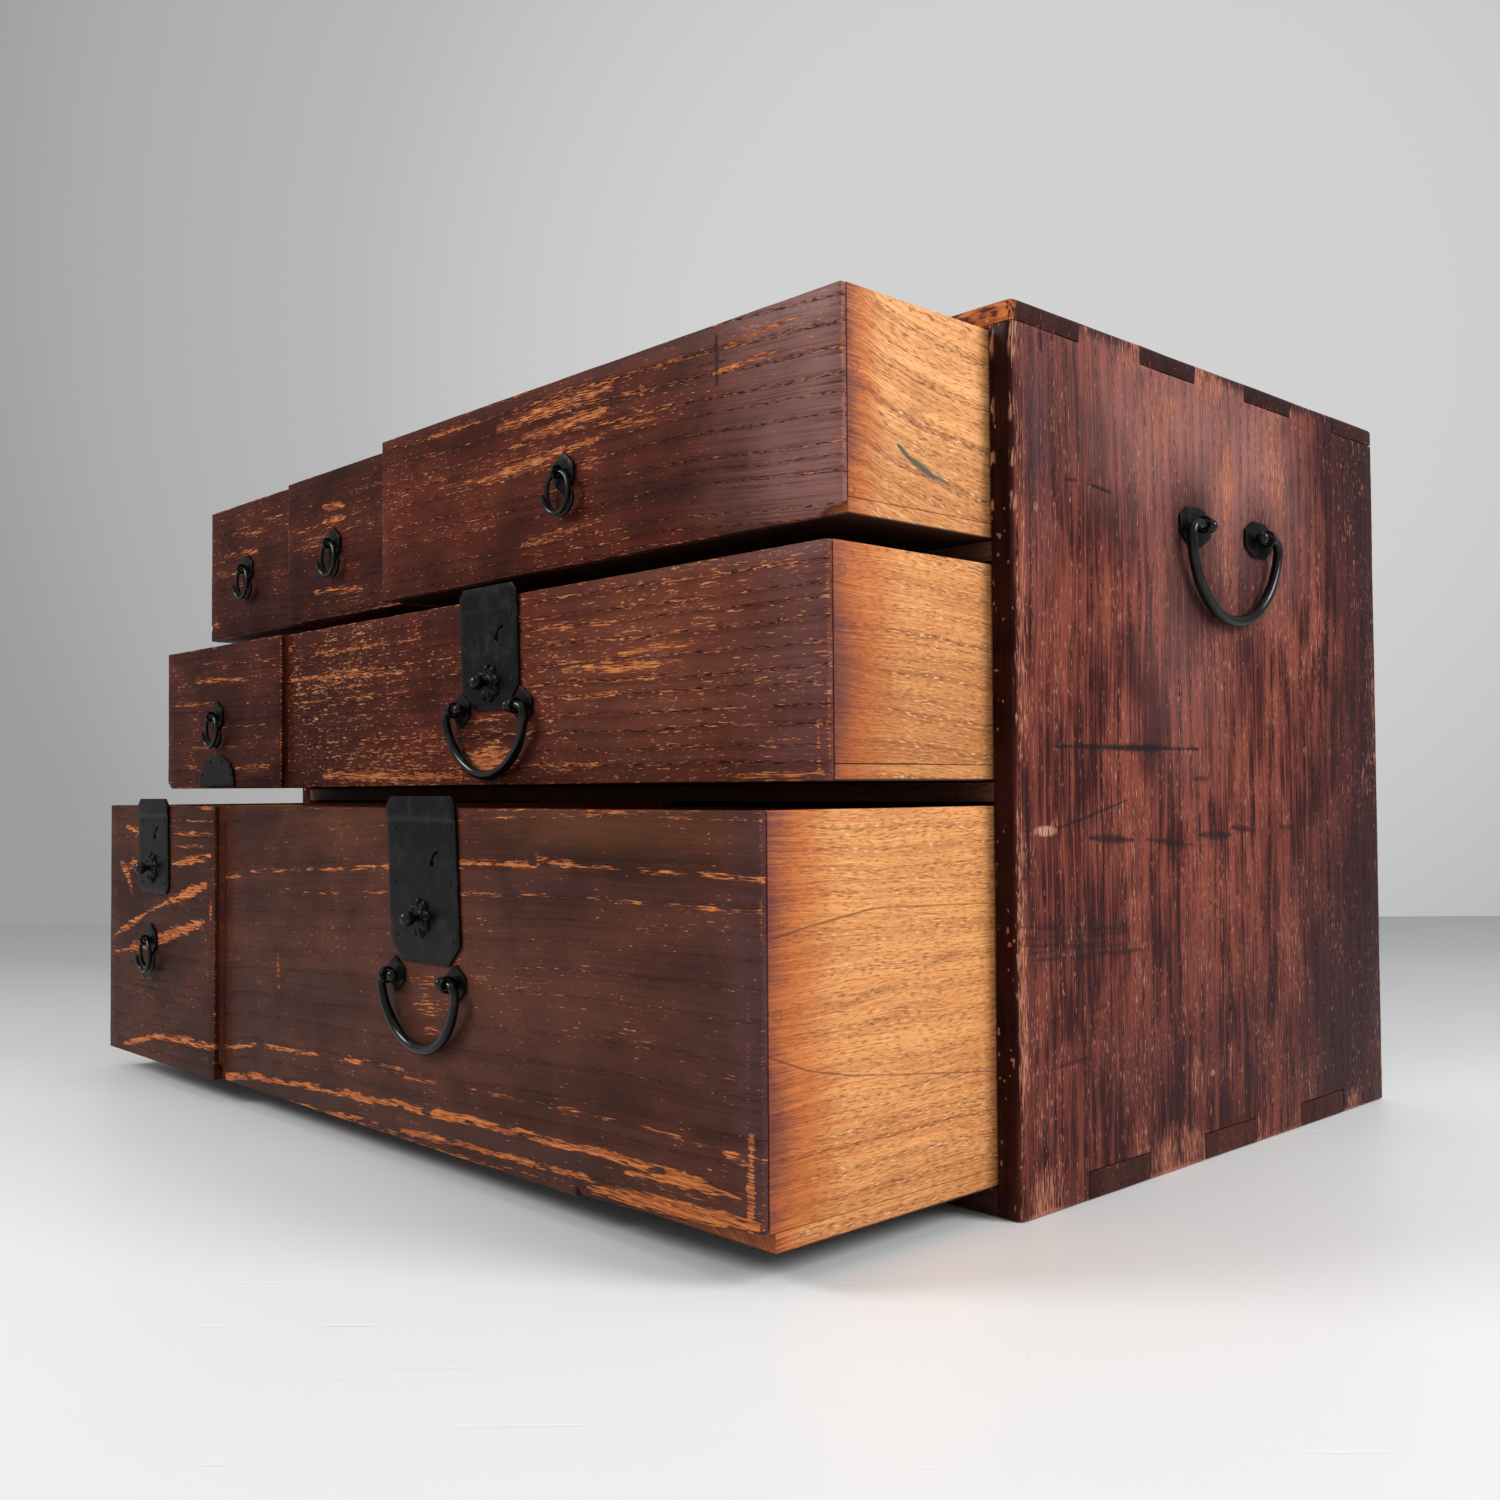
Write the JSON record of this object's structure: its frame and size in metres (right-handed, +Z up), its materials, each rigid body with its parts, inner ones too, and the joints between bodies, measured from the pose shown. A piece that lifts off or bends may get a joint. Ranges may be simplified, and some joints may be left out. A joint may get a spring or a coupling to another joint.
{
  "type": "small tansu chest",
  "caption": "Tabletop chest with rows of sliding drawers in dark lacquered wood, black iron lock plates, ring pulls, drawer bails and a carrying handle on each side.",
  "frame": {"origin": "middle of the case's underside", "axes": "+X to the right along the front, +Y from the front to the back, +Z up"},
  "size_m": [0.6908, 0.5153, 0.4],
  "materials": {
    "case_lacquer": "worn dark red-brown lacquer",
    "front_lacquer": "worn dark lacquer with lighter wood showing along the grain",
    "case_wood": "plain aged softwood",
    "drawer_wood": "plain light softwood",
    "black_iron": "black, slightly glossy wrought iron"
  },
  "bodies": {
    "case": {"case_top": "case_lacquer", "case_bottom": "case_wood", "case_left_side": "case_lacquer", "case_right_side": "case_lacquer", "case_back": "case_wood", "lower_shelf": "case_wood", "upper_shelf": "case_wood", "drawer_dividers": "case_wood", "left_handle_mounts": "black_iron", "right_handle_mounts": "black_iron"},
    "top_left_drawer": {"top_left_front": "front_lacquer", "top_left_walls": "drawer_wood", "top_left_bottom": "drawer_wood", "top_left_ring_mount": "black_iron"},
    "top_left_ring": {"top_left_ring": "black_iron"},
    "top_middle_drawer": {"top_middle_front": "front_lacquer", "top_middle_walls": "drawer_wood", "top_middle_bottom": "drawer_wood", "top_middle_ring_mount": "black_iron"},
    "top_middle_ring": {"top_middle_ring": "black_iron"},
    "top_right_drawer": {"top_right_front": "front_lacquer", "top_right_walls": "drawer_wood", "top_right_bottom": "drawer_wood", "top_right_ring_mount": "black_iron"},
    "top_right_ring": {"top_right_ring": "black_iron"},
    "middle_left_drawer": {"middle_left_front": "front_lacquer", "middle_left_walls": "drawer_wood", "middle_left_bottom": "drawer_wood", "middle_left_ring_mount": "black_iron", "middle_left_half_round_plate": "black_iron"},
    "middle_left_ring": {"middle_left_ring": "black_iron"},
    "middle_right_drawer": {"middle_right_front": "front_lacquer", "middle_right_walls": "drawer_wood", "middle_right_bottom": "drawer_wood", "middle_right_lock_plate": "black_iron", "middle_right_lock_case": "black_iron", "middle_right_bail_mounts": "black_iron"},
    "middle_right_bail": {"middle_right_bail": "black_iron"},
    "middle_right_knob": {"middle_right_lock_knob": "black_iron"},
    "middle_right_bolt": {"middle_right_lock_bolt": "black_iron"},
    "bottom_left_drawer": {"bottom_left_front": "front_lacquer", "bottom_left_walls": "drawer_wood", "bottom_left_bottom": "drawer_wood", "bottom_left_lock_plate": "black_iron", "bottom_left_lock_case": "black_iron", "bottom_left_ring_mount": "black_iron"},
    "bottom_left_ring": {"bottom_left_ring": "black_iron"},
    "bottom_left_knob": {"bottom_left_lock_knob": "black_iron"},
    "bottom_left_bolt": {"bottom_left_lock_bolt": "black_iron"},
    "bottom_right_drawer": {"bottom_right_front": "front_lacquer", "bottom_right_walls": "drawer_wood", "bottom_right_bottom": "drawer_wood", "bottom_right_lock_plate": "black_iron", "bottom_right_lock_case": "black_iron", "bottom_right_bail_mounts": "black_iron"},
    "bottom_right_bail": {"bottom_right_bail": "black_iron"},
    "bottom_right_knob": {"bottom_right_lock_knob": "black_iron"},
    "bottom_right_bolt": {"bottom_right_lock_bolt": "black_iron"},
    "left_handle": {"left_handle": "black_iron"},
    "right_handle": {"right_handle": "black_iron"}
  },
  "joints": [
    {"name": "top_left_drawer_slide", "type": "slide", "parent": "case", "child": "top_left_drawer", "axis": [0, -1, 0], "range_m": [-0.076, 0.194]},
    {"name": "top_left_ring_swing", "type": "hinge", "parent": "top_left_drawer", "child": "top_left_ring", "pos_m": [-0.259, -0.2595, 0.341], "axis": [-1, 0, 0], "range_deg": [-1, 177]},
    {"name": "top_middle_drawer_slide", "type": "slide", "parent": "case", "child": "top_middle_drawer", "axis": [0, -1, 0], "range_m": [-0.081, 0.189]},
    {"name": "top_middle_ring_swing", "type": "hinge", "parent": "top_middle_drawer", "child": "top_middle_ring", "pos_m": [-0.124, -0.2645, 0.341], "axis": [-1, 0, 0], "range_deg": [-1, 177]},
    {"name": "top_right_drawer_slide", "type": "slide", "parent": "case", "child": "top_right_drawer", "axis": [0, -1, 0], "range_m": [-0.094, 0.176]},
    {"name": "top_right_ring_swing", "type": "hinge", "parent": "top_right_drawer", "child": "top_right_ring", "pos_m": [0.1365, -0.2775, 0.341], "axis": [-1, 0, 0], "range_deg": [-1, 177]},
    {"name": "middle_left_drawer_slide", "type": "slide", "parent": "case", "child": "middle_left_drawer", "axis": [0, -1, 0], "range_m": [-0.107, 0.163]},
    {"name": "middle_left_ring_swing", "type": "hinge", "parent": "middle_left_drawer", "child": "middle_left_ring", "pos_m": [-0.236, -0.2905, 0.2369], "axis": [-1, 0, 0], "range_deg": [-1, 177]},
    {"name": "middle_right_drawer_slide", "type": "slide", "parent": "case", "child": "middle_right_drawer", "axis": [0, -1, 0], "range_m": [-0.103, 0.167]},
    {"name": "middle_right_bail_swing", "type": "hinge", "parent": "middle_right_drawer", "child": "middle_right_bail", "pos_m": [0.086, -0.28715, 0.2282], "axis": [-1, 0, 0], "range_deg": [-0.5, 173.5]},
    {"name": "middle_right_bolt_rise", "type": "slide", "parent": "middle_right_drawer", "child": "middle_right_bolt", "axis": [0, 0, 1], "range_m": [0, 0.006]},
    {"name": "middle_right_knob_push", "type": "slide", "parent": "middle_right_drawer", "child": "middle_right_knob", "axis": [0, 1, 0], "range_m": [0, 0.0015]},
    {"name": "bottom_left_drawer_slide", "type": "slide", "parent": "case", "child": "bottom_left_drawer", "axis": [0, -1, 0], "range_m": [-0.146, 0.124]},
    {"name": "bottom_left_ring_swing", "type": "hinge", "parent": "bottom_left_drawer", "child": "bottom_left_ring", "pos_m": [-0.246, -0.3295, 0.0913], "axis": [-1, 0, 0], "range_deg": [-1, 177]},
    {"name": "bottom_left_bolt_rise", "type": "slide", "parent": "bottom_left_drawer", "child": "bottom_left_bolt", "axis": [0, 0, 1], "range_m": [0, 0.006]},
    {"name": "bottom_left_knob_push", "type": "slide", "parent": "bottom_left_drawer", "child": "bottom_left_knob", "axis": [0, 1, 0], "range_m": [0, 0.0015]},
    {"name": "bottom_right_drawer_slide", "type": "slide", "parent": "case", "child": "bottom_right_drawer", "axis": [0, -1, 0], "range_m": [-0.14, 0.13]},
    {"name": "bottom_right_bail_swing", "type": "hinge", "parent": "bottom_right_drawer", "child": "bottom_right_bail", "pos_m": [0.0842, -0.32415, 0.095], "axis": [-1, 0, 0], "range_deg": [-0.5, 153.5]},
    {"name": "bottom_right_bolt_rise", "type": "slide", "parent": "bottom_right_drawer", "child": "bottom_right_bolt", "axis": [0, 0, 1], "range_m": [0, 0.006]},
    {"name": "bottom_right_knob_push", "type": "slide", "parent": "bottom_right_drawer", "child": "bottom_right_knob", "axis": [0, 1, 0], "range_m": [0, 0.0015]},
    {"name": "left_handle_swing", "type": "hinge", "parent": "case", "child": "left_handle", "pos_m": [-0.34095, 0.0038, 0.317], "axis": [0, 1, 0], "range_deg": [-0.5, 167.5]},
    {"name": "right_handle_swing", "type": "hinge", "parent": "case", "child": "right_handle", "pos_m": [0.34095, 0.0038, 0.317], "axis": [0, -1, 0], "range_deg": [-0.5, 167.5]}
  ],
  "couplings": [
    {"joint": "middle_right_knob_push", "follows": "middle_right_bolt_rise", "ratio": 0.25},
    {"joint": "bottom_left_knob_push", "follows": "bottom_left_bolt_rise", "ratio": 0.25},
    {"joint": "bottom_right_knob_push", "follows": "bottom_right_bolt_rise", "ratio": 0.25}
  ]
}
